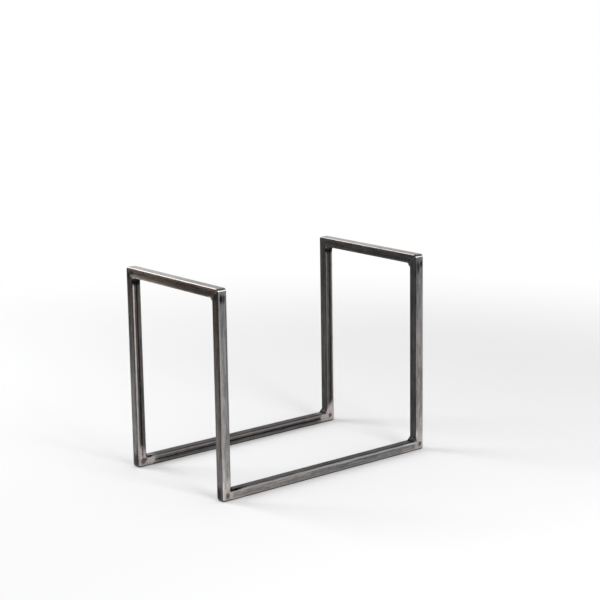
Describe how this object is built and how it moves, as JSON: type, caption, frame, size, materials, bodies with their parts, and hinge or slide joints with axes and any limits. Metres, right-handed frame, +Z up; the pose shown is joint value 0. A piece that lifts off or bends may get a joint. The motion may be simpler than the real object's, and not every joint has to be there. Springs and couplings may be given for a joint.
{
  "type": "record storage stand",
  "caption": "Open welded frame of slim square steel tube that holds vinyl records upright: two base rails with an upright U at the front and back.",
  "frame": {"origin": "on the floor, midway between the two base rails and between the front and back frames", "axes": "+X across the stand to the right seen from the front, +Y from the front to the back, +Z up"},
  "size_m": [0.15, 0.254, 0.202],
  "materials": {
    "steel_tube": "raw dark mill finish, rubbed bright along the edges, clear coated",
    "weld_metal": "ground flush outside, fillet bead left as welded in the inner corners, clear coated"
  },
  "bodies": {
    "root": {"left_base_rail": "steel_tube", "right_base_rail": "steel_tube", "front_left_upright": "steel_tube", "front_right_upright": "steel_tube", "back_left_upright": "steel_tube", "back_right_upright": "steel_tube", "front_top_rail": "steel_tube", "back_top_rail": "steel_tube", "front_left_foot_weld": "weld_metal", "front_right_foot_weld": "weld_metal", "back_left_foot_weld": "weld_metal", "back_right_foot_weld": "weld_metal", "front_left_top_weld": "weld_metal", "front_right_top_weld": "weld_metal", "back_left_top_weld": "weld_metal", "back_right_top_weld": "weld_metal"}
  },
  "joints": []
}
